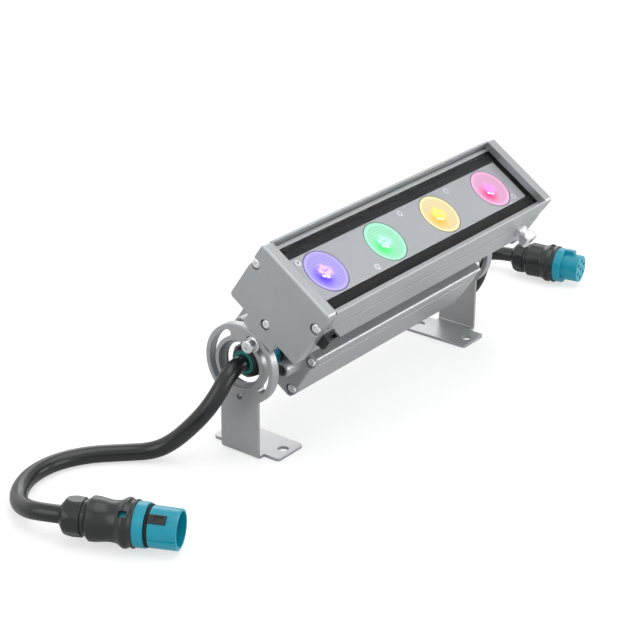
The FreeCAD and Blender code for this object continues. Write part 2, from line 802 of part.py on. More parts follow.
# ---------------------------------------------------------------- driver board and wiring
driver_top = driver_board_low() + board_thickness
driver_half = driver_board_length / 2
terminal_depth = 16.0
terminal_half_width = 9.0
terminal_height = 9.0
terminal_out = driver_half - 4.0


def make_driver_board():
    w_half = box_half_width - box_wall - 0.2
    board = lamp_box(-driver_half, driver_half, -w_half, w_half, driver_board_low(), driver_top)
    holes = [upright_rod(x, w, driver_board_low() - 1, driver_top + 1, small_screw_radius + fit_gap)
             for x, w in driver_screw_places()]
    return cut_all(board, holes)


# Driver components: place along and across the lamp, then length, width and height.
transformer_box = (-1, -2, 26, 32, 21)
choke_box = (46, 14, 16, 16, 14)
chip_box = (-38, -14, 8, 8, 2.2)
chip_pitch = 14
capacitor_place = (-34, 16)
capacitor_pitch = 15
capacitor_radius = 6.0
capacitor_height = 20
coil_place = (44, -14)
coil_radius = 7.5
coil_thickness = 3.2        # radius of the coil's ring
transformer_corner = 1.5


def component(place, shift=0.0):
    x, w, length, width, height = place
    return lamp_box(x - shift - length / 2, x - shift + length / 2, w - width / 2, w + width / 2,
                    driver_top, driver_top + height)


def make_driver_parts():
    transformer = component(transformer_box)
    transformer = transformer.makeFillet(transformer_corner, [
        e for e in transformer.Edges if e.BoundBox.ZLength > transformer_box[-1] / 2])
    coil = Part.makeTorus(coil_radius, coil_thickness,
                          lamp_point(*coil_place, driver_top + coil_thickness), Vector(0, 0, 1))
    x, w = capacitor_place
    capacitors = [upright_rod(x - capacitor_pitch * i, w, driver_top, driver_top + capacitor_height,
                              capacitor_radius) for i in range(2)]
    chips = [component(chip_box, chip_pitch * i) for i in range(2)]
    return [transformer, coil, component(choke_box)] + capacitors + chips


def make_terminal(side):
    low, high = sorted([side * terminal_out, side * (terminal_out - terminal_depth)])
    block = lamp_box(low, high, -terminal_half_width, terminal_half_width, driver_top,
                     driver_top + terminal_height)
    wells = [upright_rod((low + high) / 2, w, driver_top + terminal_height - 3,
                         driver_top + terminal_height + 1, 1.9) for w in core_places()]
    return cut_all(block, wells)


def core_places():
    return [-core_spread * 1.6, 0, core_spread * 1.6]


# The cable inside the gland, and three cores from its end to the terminal block.
stub_end = box_half - 5.0


def make_inner_leads():
    stub = lamp_rod(stub_end, gland_mouth, 0, 0, cable_radius)
    pieces = [stub]
    target_h = driver_top + terminal_height / 2
    for i, w_target in enumerate(core_places()):
        w_start = (i - 1) * core_spread
        start = lamp_point(stub_end, w_start, -1.5)
        ring = Part.Wire(Part.makeCircle(core_radius, start, Vector(1, 0, 0)))
        reach = lamp_point(terminal_out, w_target, target_h) - start
        pieces.append(Part.Face(ring).extrude(reach))
    return pieces


def make_feed_leads():
    return [upright_rod(wire_hole_x + side * 2.0, 0, driver_top, floor_top, core_radius)
            for side in (-1, 1)]


leads = make_inner_leads()
keep_lamp("driver_board", make_driver_board())
keep_lamp("driver_parts", *make_driver_parts())
keep_lamp("driver_board_screws", *[pan_screw(x, w, driver_top, board_thickness + 4.5)
                                   for x, w in driver_screw_places()])
keep_lamp("terminal_blocks", make_terminal(1), make_terminal(-1))
keep_lamp("inner_leads", *(leads + [other_end(s) for s in leads] + make_feed_leads()))


# Screws that join the light head to the driver box; their heads are inside the box.
def joining_screw(x):
    seat = box_top - box_wall
    head = upright_rod(x, 0, seat - screw_head_height, seat, screw_head_radius)
    return head.fuse(upright_rod(x, 0, seat, joint_height + spine_wall, screw_radius))


keep_lamp("joining_screws", *[joining_screw(x) for x in (-join_screw_x, join_screw_x)])


# ---------------------------------------------------------------- cable glands
bore = cable_radius + fit_gap


def make_gland_body():
    along = Vector(1, 0, 0)
    hexagon = flats_prism(lamp_point(plate_face, 0, 0), along, hex_thickness, hex_flats)
    thread = lamp_rod(box_half, plate_face, 0, 0, gland_thread_radius)
    neck = lamp_rod(hex_end, gland_neck_end, 0, 0, gland_neck_radius)
    body = hexagon.fuse([thread, neck])
    return body.cut(lamp_rod(box_half - 1, gland_neck_end + 1, 0, 0, bore))


def make_gland_ring():
    disc = lamp_rod(hex_end, gland_ring_end, 0, 0, gland_ring_radius)
    disc = disc.makeFillet(1.0, [e for e in disc.Edges if isinstance(e.Curve, Part.Circle)])
    return disc.cut(lamp_rod(hex_end - 1, gland_ring_end + 1, 0, 0, gland_neck_radius + fit_gap))


def make_gland_nut():
    across_corners = gland_nut_flats / 2 / math.cos(math.pi / 6)
    shoulder = gland_nut_end - gland_nut_nose
    dome = turned([
        (gland_neck_end, 0), (gland_neck_end, across_corners, 0.8), (shoulder, across_corners, 3.0),
        (gland_nut_end, gland_mouth_radius + 0.8, 0.8), (gland_nut_end, 0),
    ])
    prism = flats_prism(Vector(gland_neck_end - 1, 0, 0), Vector(1, 0, 0),
                        gland_nut_width + 2, gland_nut_flats)
    nut = dome.common(prism)
    tools = [
        lamp_rod(gland_neck_end - 1, gland_nut_end + 1, 0, 0, bore),
        lamp_rod(gland_nut_end - 2.0, gland_nut_end + 1, 0, 0, gland_mouth_radius),
    ]
    return cut_all(nut, tools)


def make_gland_seal():
    seal = lamp_rod(gland_nut_end - 2.0, gland_mouth, 0, 0, gland_mouth_radius)
    seal = seal.makeFillet(0.5, [e for e in seal.Edges if isinstance(e.Curve, Part.Circle)
                                 and e.BoundBox.XMin > gland_nut_end])
    return seal.cut(lamp_rod(gland_nut_end - 3, gland_mouth + 1, 0, 0, bore))


for piece, shape in (("body", make_gland_body()), ("ring", make_gland_ring()),
                     ("nut", make_gland_nut()), ("seal", make_gland_seal())):
    keep_lamp("gland_%s_right" % piece, shape)
    keep_lamp("gland_%s_left" % piece, other_end(shape))


# ---------------------------------------------------------------- block and breather on the front side
# A point on the front side face: along x, up h and out from the face.
def side_point(x, h, out):
    return lamp_point(x, head_half_width + out, h)


block_length = 12.6
block_height = 10.2
block_out = 7.2
flange_out = 1.6
block_pocket = 2.2


def make_side_block():
    outward = Vector(0, -1, 0)
    flange = lamp_box(block_x - block_length / 2 - 0.8, block_x + block_length / 2 + 0.8,
                      head_half_width, head_half_width + flange_out,
                      block_h - block_height / 2 - 0.6, block_h + block_height / 2 + 0.6)
    flange = flange.makeFillet(1.2, [e for e in flange.Edges if e.BoundBox.YLength > flange_out * 0.9])
    low, high = block_h - block_height / 2, block_h + block_height / 2
    outer = head_half_width + block_out
    inner = head_half_width + flange_out - 0.4
    section = [
        (inner, high - 0.6), (head_half_width + flange_out + 0.8, high - 0.6),
        (head_half_width + flange_out + 0.8, high), (outer, high, 1.0), (outer, low, 3.6), (inner, low),
    ]
    body = lamp_prism(section, block_x - block_length / 2, block_x + block_length / 2)
    stem = Part.makeCylinder(2.45, wall + 1, lamp_point(block_x, side_limit - 0.9, block_h), outward)
    pocket = lamp_box(block_x - block_length / 2 + 2.0, block_x + block_length / 2 - 2.0,
                      head_half_width + flange_out + 1.4, outer - 1.2, high - block_pocket, high + 1)
    return body.fuse([flange, stem]).cut(pocket).removeSplitter()


collar_flats = 12.0
collar_thickness = 3.4
neck_radius = 5.0
neck_out = 6.4
breather_cap_flats = 14.4
breather_out = 13.4


def make_breather_base():
    outward = Vector(0, -1, 0)
    hexagon = flats_prism(side_point(breather_x, breather_h, 0), outward, collar_thickness, collar_flats)
    neck = Part.makeCylinder(neck_radius, neck_out, side_point(breather_x, breather_h, 0), outward)
    thread = Part.makeCylinder(4.0, wall, side_point(breather_x, breather_h, -wall), outward)
    return hexagon.fuse([neck, thread]).removeSplitter()


def make_breather_cap():
    outward = Vector(0, -1, 0)
    length = breather_out - neck_out
    start = side_point(breather_x, breather_h, neck_out)
    prism = flats_prism(start, outward, length, breather_cap_flats)
    round_bar = Part.makeCylinder(breather_cap_flats / 2 * 1.1, length, start, outward)
    round_bar = round_bar.makeChamfer(1.2, [e for e in round_bar.Edges if isinstance(e.Curve, Part.Circle)])
    cap_body = prism.common(round_bar)
    socket = flats_prism(side_point(breather_x, breather_h, breather_out - 3.5), outward, 5, 6.0)
    return cap_body.cut(socket)


keep_lamp("side_block", make_side_block())
keep_lamp("breather_base", make_breather_base())
keep_lamp("breather_cap", make_breather_cap())


# ---------------------------------------------------------------- cables
# A tube of straight runs joined by tangent arcs; each arc is as large as its two runs allow.
def make_tube(name, route, radius):
    points = [Vector(*p) for p in route]
    edges = []
    radii = []
    here = points[0]
    for i in range(1, len(points) - 1):
        back = points[i - 1] - points[i]
        on = points[i + 1] - points[i]
        turn = math.pi - back.getAngle(on)
        reach = 0.45 * min(back.Length, on.Length)
        radii.append(reach / math.tan(turn / 2))
        start = points[i] + Vector(back).normalize() * reach
        finish = points[i] + Vector(on).normalize() * reach
        bisector = (Vector(back).normalize() + Vector(on).normalize()).normalize()
        middle = points[i] + bisector * (radii[-1] / math.cos(turn / 2) - radii[-1])
        edges.append(Part.LineSegment(here, start).toShape())
        edges.append(Part.Arc(start, middle, finish).toShape())
        here = finish
    edges.append(Part.LineSegment(here, points[-1]).toShape())
    path = Part.Wire(edges)
    ring = Part.Wire(Part.makeCircle(radius, points[0], points[1] - points[0]))
    tube = path.makePipeShell([ring], True, False)
    expected = math.pi * radius ** 2 * path.Length
    print("%s: length %.1f, radii %s, volume over section times length %.4f"
          % (name, path.Length, [round(r) for r in radii], tube.Volume / expected))
    return tube


keep("cable_left", make_tube("cable_left", route_left, cable_radius))
keep("cable_right", make_tube("cable_right", route_right, cable_radius))


# ---------------------------------------------------------------- plugs
# A plug is drawn with its axis along +X from the cable entry at x = 0, and its key upwards.
def place_plug(shape, route, roll):
    entry = Vector(*route[-1])
    heading = entry - Vector(*route[-2])
    placed = shape.copy()
    placed.rotate(Vector(0, 0, 0), Vector(1, 0, 0), roll)
    placed.rotate(Vector(0, 0, 0), Vector(0, 0, 1), math.degrees(math.atan2(heading.y, heading.x)))
    placed.translate(entry)
    return placed


nut_left_length = 15.8
neck_left_length = 3.0
body_left_end = 53.6
flange_left_end = 61.5
oring_width = 2.6
insert_left_end = 84.5
insert_bore = 13.3
nut_radius = 14.2
nut_flats = 26.6
plug_neck_radius = 12.6
body_floor_left = 39.0      # where the bore of the body ends
latch_left = (43.6, 49.4)
latch_width = 4.6
socket_depth = 15.0
socket_radius = 12.4
pin_circle = 6.6
pin_radius = 1.5
pin_length = 8.0
pin_count = 5
left_roll = 40.0


# The clamping nut: a dome cut by eight flats.
def make_plug_nut(length):
    dome = turned([
        (0, 0), (0, 8.6), (3.4, nut_radius - 1.0, 2.5), (length * 0.55, nut_radius, 6.0),
        (length, nut_radius - 0.3, 0.6), (length, 0),
    ])
    return dome.common(flats_prism(Vector(-1, 0, 0), Vector(1, 0, 0), length + 2, nut_flats, 8))


# The window in a plug body through which the latch of the insert shows.
def latch_window(start, finish):
    return Part.makeBox(finish - start, latch_width, 8, Vector(start, -latch_width / 2, insert_bore - 2))


def make_left_plug():
    neck_end = nut_left_length + neck_left_length
    neck = turned([(nut_left_length, 0), (nut_left_length, plug_neck_radius),
                   (neck_end, plug_neck_radius), (neck_end, 0)])
    body = turned([
        (neck_end, 0), (neck_end, 13.4), (neck_end + 2.8, 15.9, 1.2), (26.0, 15.7, 6.0),
        (35.0, 14.3, 22.0), (41.5, 14.9, 7.0), (46.6, 18.2, 3.0), (50.4, 16.2, 2.0),
        (body_left_end, 17.3, 0.8), (body_left_end, insert_bore), (body_floor_left, insert_bore),
        (body_floor_left, 0),
    ])
    insert = turned([
        (body_floor_left + ring_seal_gap, 0), (body_floor_left + ring_seal_gap, insert_bore - fit_gap),
        (body_left_end, insert_bore - fit_gap), (body_left_end, 15.9), (flange_left_end, 15.9, 0.6),
        (flange_left_end, 13.4), (flange_left_end + oring_width, 13.4),
        (flange_left_end + oring_width, 14.3, 0.3), (insert_left_end, 14.0, 0.5),
        (insert_left_end, socket_radius), (insert_left_end - socket_depth, socket_radius),
        (insert_left_end - socket_depth, 0),
    ])
    ring_seal = Part.makeTorus(14.1, 1.05, Vector(flange_left_end + oring_width / 2, 0, 0), Vector(1, 0, 0))
    ring_seal = ring_seal.cut(insert)
    key_start = flange_left_end + oring_width
    key = Part.makeBox(12.5, 6.4, 2.6, Vector(key_start, -3.2, 13.0))
    key = key.makeFillet(0.5, [e for e in key.Edges if e.BoundBox.ZMin > 15])
    key = key.cut(Part.makeBox(6.0, 3.4, 2, Vector(key_start + 4.5, -1.7, 14.6)))
    rib_start, rib_length = key_start + 0.2, insert_left_end - key_start - 0.7
    rib = Part.makeCylinder(14.9, rib_length, Vector(rib_start, 0, 0), Vector(1, 0, 0), 62)
    rib = rib.cut(Part.makeCylinder(13.0, rib_length + 2, Vector(rib_start - 1, 0, 0), Vector(1, 0, 0)))
    rib.rotate(Vector(0, 0, 0), Vector(1, 0, 0), 62)
    insert = insert.fuse(rib).cut(key)
    insert = insert.removeSplitter()
    body = body.cut(latch_window(*latch_left))
    pins = []
    floor_x = insert_left_end - socket_depth
    for i in range(pin_count):
        angle = 2 * math.pi * (i + 0.5) / pin_count
        place = Vector(floor_x, pin_circle * math.sin(angle), pin_circle * math.cos(angle))
        pins.append(Part.makeCylinder(pin_radius, pin_length, place, Vector(1, 0, 0)))
    return {"nut": [make_plug_nut(nut_left_length)], "neck": [neck], "body": [body], "insert": [insert],
            "oring": [ring_seal], "key": [key], "pins": pins}


nut_right_length = 12.6
neck_right_length = 2.6
body_right_end = 43.4
flange_right_end = 50.6
insert_right_end = 66.0
body_floor_right = 29.0
latch_right = (33.4, 38.2)
contact_circle = 7.6
contact_count = 6
contact_hole_radius = 1.7
contact_hole_depth = 8.0
contact_gap = 0.05
contact_bore = 1.0
contact_length = 5.0
contact_back = 1.5          # closed end of a contact
right_roll = -8.0


def make_right_plug():
    neck_end = nut_right_length + neck_right_length
    neck = turned([(nut_right_length, 0), (nut_right_length, plug_neck_radius),
                   (neck_end, plug_neck_radius), (neck_end, 0)])
    body = turned([
        (neck_end, 0), (neck_end, 13.8), (neck_end + 2.0, 15.5, 1.0), (26.0, 15.3, 12.0),
        (31.0, 15.1, 6.0), (36.2, 17.6, 3.0), (39.6, 16.2, 2.0), (body_right_end, 17.0, 0.8),
        (body_right_end, insert_bore), (body_floor_right, insert_bore), (body_floor_right, 0),
    ])
    body = body.cut(latch_window(*latch_right))
    insert = turned([
        (body_floor_right + ring_seal_gap, 0), (body_floor_right + ring_seal_gap, insert_bore - fit_gap),
        (body_right_end, insert_bore - fit_gap), (body_right_end, 15.6), (flange_right_end, 15.6, 0.8),
        (flange_right_end, 12.4), (insert_right_end, 12.2, 0.6), (insert_right_end, 0),
    ])
    lug = Part.makeBox(8.6, 7.0, 4.6, Vector(flange_right_end - 0.4, -3.5, 11.0))
    lug = lug.makeFillet(0.8, [e for e in lug.Edges if e.BoundBox.ZMin > 15])
    keyway = Part.makeBox(14.0, 3.0, 3.0, Vector(insert_right_end - 12.0, -1.5, -13.6))
    insert = insert.fuse(lug).removeSplitter().cut(keyway)
    places = [(0.0, 0.0)]
    for i in range(contact_count):
        angle = 2 * math.pi * i / contact_count
        places.append((contact_circle * math.sin(angle), contact_circle * math.cos(angle)))
    hole_end = insert_right_end - contact_hole_depth
    holes = [Part.makeCylinder(contact_hole_radius, contact_hole_depth + 1, Vector(hole_end, y, z),
                               Vector(1, 0, 0)) for y, z in places]
    contacts = []
    for y, z in places:
        sleeve = Part.makeCylinder(contact_hole_radius - contact_gap, contact_length,
                                   Vector(hole_end, y, z), Vector(1, 0, 0))
        bore = Part.makeCylinder(contact_bore, contact_length - 1, Vector(hole_end + contact_back, y, z),
                                 Vector(1, 0, 0))
        contacts.append(sleeve.cut(bore))
    return {"nut": [make_plug_nut(nut_right_length)], "neck": [neck], "body": [body],
            "insert": [cut_all(insert, holes)], "contacts": contacts}


for side, pieces, route, roll in (("left", make_left_plug(), route_left, left_roll),
                                  ("right", make_right_plug(), route_right, right_roll)):
    for piece, solids in pieces.items():
        keep("plug_%s_%s" % (side, piece), *[place_plug(solid, route, roll) for solid in solids])


# ---------------------------------------------------------------- output
os.makedirs("parts", exist_ok=True)
for name, shape in parts.items():
    for solid in shape.Solids:
        if not solid.isValid() or solid.Volume <= 0:
            print("check", name)
    shape.exportStep("parts/%s.step" % name)
print(len(parts), "nodes,", sum(len(shape.Solids) for shape in parts.values()), "solids")
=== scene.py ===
import math

import bpy
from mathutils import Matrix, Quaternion, Vector


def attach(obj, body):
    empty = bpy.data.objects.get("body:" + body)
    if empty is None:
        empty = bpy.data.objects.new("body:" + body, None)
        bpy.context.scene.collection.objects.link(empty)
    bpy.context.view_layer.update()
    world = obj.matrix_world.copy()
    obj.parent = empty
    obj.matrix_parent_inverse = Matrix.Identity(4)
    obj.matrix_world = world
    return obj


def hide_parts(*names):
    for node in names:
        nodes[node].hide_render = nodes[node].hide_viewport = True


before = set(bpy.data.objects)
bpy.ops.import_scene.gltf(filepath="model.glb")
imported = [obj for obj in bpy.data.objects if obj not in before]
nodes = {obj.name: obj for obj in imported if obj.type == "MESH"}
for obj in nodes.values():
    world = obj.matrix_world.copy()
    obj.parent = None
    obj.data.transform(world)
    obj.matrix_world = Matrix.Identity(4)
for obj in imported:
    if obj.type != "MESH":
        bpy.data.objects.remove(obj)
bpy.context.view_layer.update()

mm = 0.001
tiltAngle = math.radians(33.6)  # how far the light head leans at rest
print("wall washer loaded,", len(nodes), "CAD pieces")


def linear(hexColour):
    parts = [int(hexColour[i:i + 2], 16) / 255 for i in (1, 3, 5)]
    return [c / 12.92 if c <= 0.04045 else ((c + 0.055) / 1.055) ** 2.4 for c in parts] + [1.0]


def addNode(tree, kind, settings=(), values=(), links=()):
    node = tree.nodes.new(kind)
    for name, value in dict(settings).items():
        setattr(node, name, value)
    for socket, value in dict(values).items():
        node.inputs[socket].default_value = value
    for socket, source in dict(links).items():
        tree.links.new(source, node.inputs[socket])
    return node


def newMaterial(name):
    material = bpy.data.materials.new(name)
    material.use_nodes = True
    material.node_tree.nodes.clear()
    return material, material.node_tree


def dress(material, *names):
    for name in names:
        piece = nodes[name]
        piece.data.materials.clear()
        piece.data.materials.append(material)


def perMetre(size):
    return 1 / (size * mm)  # texture scale of a pattern that repeats every size millimetres


# camera: the photograph's long lens, looking down at 24 degrees over the left end of the lamp
camera = {
    "place": (-1.04132, -0.74463, 0.63406),
    "looksAlong": (0.72867, 0.54771, -0.41117),
    "roll": -0.614,  # degrees
    "lens": 98.707,
    "sensor": 36,
    "near": 0.05,
    "far": 50,
}


def setCamera():
    data = bpy.data.cameras.new("photoCamera")
    data.sensor_width = camera["sensor"]
    data.lens = camera["lens"]
    data.clip_start = camera["near"]
    data.clip_end = camera["far"]
    photoCamera = bpy.data.objects.new("photoCamera", data)
    photoCamera.location = camera["place"]
    photoCamera.rotation_mode = "QUATERNION"
    aim = Vector(camera["looksAlong"]).to_track_quat("-Z", "Y")
    photoCamera.rotation_quaternion = aim @ Quaternion((0, 0, 1), math.radians(-camera["roll"]))
    bpy.context.scene.collection.objects.link(photoCamera)
    bpy.context.scene.camera = photoCamera


setCamera()
print("camera set")


# cables: the route's points in metres, from the gland on the tilt axis to the plug
cableLeft = {
    "radius": 0.0065,
    "length": 0.2982,
    "route": [
        (-0.1447, 0, 0.0738), (-0.154, 0, 0.0738), (-0.164, -0.0005, 0.069), (-0.173, 0.0005, 0.0585),
        (-0.1805, 0.0065, 0.045), (-0.186, 0.017, 0.031), (-0.19, 0.03, 0.017), (-0.197, 0.043, 0.008),
        (-0.21, 0.06, 0.0065), (-0.229, 0.0795, 0.0065), (-0.252, 0.0905, 0.0065),
        (-0.276, 0.091, 0.0065), (-0.297, 0.082, 0.0065), (-0.312, 0.067, 0.008),
        (-0.3205, 0.05, 0.013), (-0.3227, 0.0335, 0.0175), (-0.316, 0.019, 0.0175),
    ],
}
cableRight = {
    "radius": 0.0065,
    "length": 0.2924,
    "route": [
        (0.1447, 0, 0.0738), (0.164, 0, 0.0738), (0.183, 0.001, 0.065), (0.193, 0.003, 0.044),
        (0.187, 0.008, 0.021), (0.174, 0.021, 0.008), (0.166, 0.044, 0.0065), (0.174, 0.067, 0.0065),
        (0.197, 0.08, 0.0065), (0.224, 0.078, 0.0065), (0.248, 0.069, 0.008), (0.268, 0.056, 0.014),
        (0.2796, 0.0398, 0.017), (0.282, 0.024, 0.017),
    ],
}
cableFinesse = {"sides": 8, "steps": 14, "order": 3}


def makeCable(name, cable, replaced):
    line = bpy.data.curves.new(name, "CURVE")
    line.dimensions = "3D"
    line.bevel_depth = 1  # times each point's radius, which also sets the curve's bounding box
    line.bevel_resolution = cableFinesse["sides"]
    line.resolution_u = cableFinesse["steps"]
    line.use_fill_caps = True
    spline = line.splines.new("NURBS")
    spline.points.add(len(cable["route"]) - 1)
    for point, place in zip(spline.points, cable["route"]):
        point.co = (*place, 1)
        point.radius = cable["radius"]
    spline.order_u = cableFinesse["order"]
    spline.use_endpoint_u = True
    lead = bpy.data.objects.new(name, line)
    bpy.context.scene.collection.objects.link(lead)
    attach(lead, "base")
    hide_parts(replaced)
    return lead


leadLeft = makeCable("leadLeft", cableLeft, "cable_left")
leadRight = makeCable("leadRight", cableRight, "cable_right")
print("cables laid")


# silver polyester powder coat on extruded and cast aluminium: an even satin grey with a faint
# sparkle of aluminium flake, a slight orange peel, and softened edges that catch the light
housingCoat = {
    "name": "silverPowderCoatOnAluminium",
    "colour": "#A6A9AC",
    "fleckColour": "#ABAEB1",
    "metallic": 0.55,
    "roughness": 0.36,
    "roughnessSpread": 0.06,
    "fleck": 1.6,  # mm; real flake is 0.05 mm, drawn coarser so that it shows
    "fleckRange": (0.75, 1.25),
    "cloud": 38,  # mm across the faint patches of the spray
    "peel": 1.4,  # mm between the bumps of the orange peel
    "peelHeight": 0.012,  # mm
    "peelStrength": 0.35,
    "edge": 0.8,  # mm of softened edge
}
bracketCoat = dict(housingCoat, name="silverPowderCoatOnSteelSheet", colour="#A6A9AC",
                   fleckColour="#ADB0B2", metallic=0.6, roughness=0.34, edge=0.6)


def makeCoat(coat):
    material, tree = newMaterial(coat["name"])
    place = addNode(tree, "ShaderNodeTexCoord")
    fleck = addNode(tree, "ShaderNodeTexNoise", values={"Scale": perMetre(coat["fleck"]), "Detail": 3.0},
                    links={"Vector": place.outputs["Object"]})
    cloud = addNode(tree, "ShaderNodeTexNoise", values={"Scale": perMetre(coat["cloud"]), "Detail": 2.0},
                    links={"Vector": place.outputs["Object"]})
    speckled = addNode(tree, "ShaderNodeMath", {"operation": "ADD"},
                       links={0: fleck.outputs["Fac"], 1: cloud.outputs["Fac"]})
    ramp = addNode(tree, "ShaderNodeMapRange", values={
        "From Min": coat["fleckRange"][0], "From Max": coat["fleckRange"][1]},
        links={"Value": speckled.outputs[0]})
    colour = addNode(tree, "ShaderNodeMix", {"data_type": "RGBA"},
                     {6: linear(coat["colour"]), 7: linear(coat["fleckColour"])}, {0: ramp.outputs[0]})
    dull = addNode(tree, "ShaderNodeMapRange", values={
        "To Min": coat["roughness"], "To Max": coat["roughness"] + coat["roughnessSpread"]},
        links={"Value": cloud.outputs["Fac"]})
    peel = addNode(tree, "ShaderNodeTexNoise", values={"Scale": perMetre(coat["peel"]), "Detail": 1.0},
                   links={"Vector": place.outputs["Object"]})
    edge = addNode(tree, "ShaderNodeBevel", {"samples": 6}, {"Radius": coat["edge"] * mm})
    bump = addNode(tree, "ShaderNodeBump", values={
        "Strength": coat["peelStrength"], "Distance": coat["peelHeight"] * mm},
        links={"Height": peel.outputs["Fac"], "Normal": edge.outputs[0]})
    shader = addNode(tree, "ShaderNodeBsdfPrincipled", values={"Metallic": coat["metallic"]},
                     links={"Base Color": colour.outputs[2], "Roughness": dull.outputs[0],
                            "Normal": bump.outputs[0]})
    addNode(tree, "ShaderNodeOutputMaterial", links={"Surface": shader.outputs[0]})
    return material


dress(makeCoat(housingCoat), "head_housing", "end_cap_left", "end_cap_right", "driver_housing",
      "box_plate_left", "box_plate_right")
dress(makeCoat(bracketCoat), "bracket_left", "bracket_right")
print("silver coats done")


# smooth materials that differ only in their numbers: plastics, rubber, screws and small metal parts;
# grain, height and edge are millimetres
finishes = {
    # moulded polyamide: near black, satin, with the fine spark-eroded texture of the mould
    "mouldedPolyamideBlack": {
        "colour": "#151718", "shade": "#1D1F20", "roughness": 0.24, "spread": 0.1, "grain": 0.9,
        "height": 0.01, "edge": 0.4,
        "on": ["plug_left_neck", "plug_left_body", "plug_left_nut", "plug_left_key",
               "plug_right_nut", "plug_right_neck", "plug_right_body",
               "gland_body_left", "gland_body_right", "gland_nut_left", "gland_nut_right", "side_block"],
    },
    # moulded polyamide in turquoise: an even dye all through, satin, edges a little lighter
    "mouldedPolyamideTurquoise": {
        "colour": "#008DA6", "shade": "#069FB5", "roughness": 0.26, "spread": 0.08, "grain": 0.9,
        "height": 0.008, "edge": 0.35,
        "on": ["plug_left_insert", "plug_right_insert", "gland_ring_left", "gland_ring_right"],
    },
    # extruded silicone and nitrile seals: dull, dark and soft, hardly a highlight
    "extrudedSiliconeSealBlack": {
        "colour": "#0F1111", "shade": "#151717", "roughness": 0.8, "spread": 0.1, "grain": 0.6,
        "height": 0.01, "edge": 0.2,
        "on": ["glass_seal", "cap_gasket_left", "cap_gasket_right", "box_gasket_left",
               "box_gasket_right", "plug_left_oring"],
    },
    # moulded nitrile mouth seal: dull dark teal
    "mouldedNitrileSealTeal": {
        "colour": "#0E5F5C", "shade": "#12807A", "roughness": 0.4, "spread": 0.1, "grain": 0.6,
        "height": 0.01, "edge": 0.2,
        "on": ["gland_seal_left", "gland_seal_right"],
    },
    # turned and polished stainless steel: bright, with sharp white glints
    "polishedStainlessSteel": {
        "colour": "#E2E4E5", "shade": "#ECEDEE", "roughness": 0.24, "spread": 0.06, "grain": 1.2,
        "height": 0.004, "edge": 0.5, "metallic": 1.0,
        "on": ["cap_screws", "box_screws", "lock_screws", "lock_washers", "breather_base",
               "breather_cap"],
    },
    # zinc-plated steel: slightly blue grey, satin
    "zincPlatedSteel": {
        "colour": "#C4C7CA", "shade": "#D2D5D8", "roughness": 0.3, "spread": 0.1, "grain": 1.2,
        "height": 0.004, "edge": 0.2, "metallic": 1.0,
        "on": ["plate_screws", "plate_posts", "board_screws", "driver_board_screws", "joining_screws"],
    },
    # silver-plated brass contacts: pale warm metal
    "silverPlatedBrass": {
        "colour": "#CFC9B8", "shade": "#DAD5C6", "roughness": 0.25, "spread": 0.08, "grain": 1.0,
        "height": 0.003, "edge": 0.15, "metallic": 1.0,
        "on": ["plug_left_pins", "plug_right_contacts"],
    },
    # anodised aluminium sheet, fine matt: a soft light grey that takes a wide gradient
    "anodisedAluminiumSheet": {
        "colour": "#8D9092", "shade": "#95989A", "roughness": 0.42, "spread": 0.06, "grain": 2.2,
        "height": 0.004, "edge": 0.3, "metallic": 0.45,
        "on": ["reflector_plate"],
    },
    # white solder mask on aluminium board
    "solderMaskWhite": {
        "colour": "#DADDDC", "shade": "#E4E6E5", "roughness": 0.35, "spread": 0.05, "grain": 2.0,
        "height": 0.002, "edge": 0.2,
        "on": ["led_board"],
    },
    # green solder mask on glass-fibre board
    "solderMaskGreen": {
        "colour": "#1C5B3A", "shade": "#236B45", "roughness": 0.35, "spread": 0.08, "grain": 1.5,
        "height": 0.004, "edge": 0.2,
        "on": ["driver_board"],
    },
    # moulded epoxy and can tops of the driver's components
    "mouldedEpoxyBlack": {
        "colour": "#1F2123", "shade": "#292B2D", "roughness": 0.45, "spread": 0.1, "grain": 1.0,
        "height": 0.005, "edge": 0.2,
        "on": ["driver_parts"],
    },
    # moulded nylon terminal blocks in light grey
    "mouldedNylonGrey": {
        "colour": "#B9BBB6", "shade": "#C6C8C3", "roughness": 0.45, "spread": 0.1, "grain": 1.0,
        "height": 0.005, "edge": 0.2,
        "on": ["terminal_blocks"],
    },
}
patchSize = 9  # mm across the faint uneven patches of a finish
grainStrength = 0.5


def makeFinish(name, finish):
    material, tree = newMaterial(name)
    place = addNode(tree, "ShaderNodeTexCoord")
    cloud = addNode(tree, "ShaderNodeTexNoise", values={"Scale": perMetre(patchSize), "Detail": 4.0},
                    links={"Vector": place.outputs["Object"]})
    colour = addNode(tree, "ShaderNodeMix", {"data_type": "RGBA"},
                     {6: linear(finish["colour"]), 7: linear(finish["shade"])}, {0: cloud.outputs["Fac"]})
    dull = addNode(tree, "ShaderNodeMapRange", values={
        "To Min": finish["roughness"], "To Max": finish["roughness"] + finish["spread"]},
        links={"Value": cloud.outputs["Fac"]})
    grain = addNode(tree, "ShaderNodeTexNoise", values={"Scale": perMetre(finish["grain"]), "Detail": 2.0},
                    links={"Vector": place.outputs["Object"]})
    edge = addNode(tree, "ShaderNodeBevel", {"samples": 6}, {"Radius": finish["edge"] * mm})
    bump = addNode(tree, "ShaderNodeBump", values={
        "Strength": grainStrength, "Distance": finish["height"] * mm},
        links={"Height": grain.outputs["Fac"], "Normal": edge.outputs[0]})
    shader = addNode(tree, "ShaderNodeBsdfPrincipled", values={"Metallic": finish.get("metallic", 0.0)},
                     links={"Base Color": colour.outputs[2], "Roughness": dull.outputs[0],
                            "Normal": bump.outputs[0]})
    addNode(tree, "ShaderNodeOutputMaterial", links={"Surface": shader.outputs[0]})
    return material


for name, finish in finishes.items():
    dress(makeFinish(name, finish), *finish["on"])
print("plastics, seals and metals done")


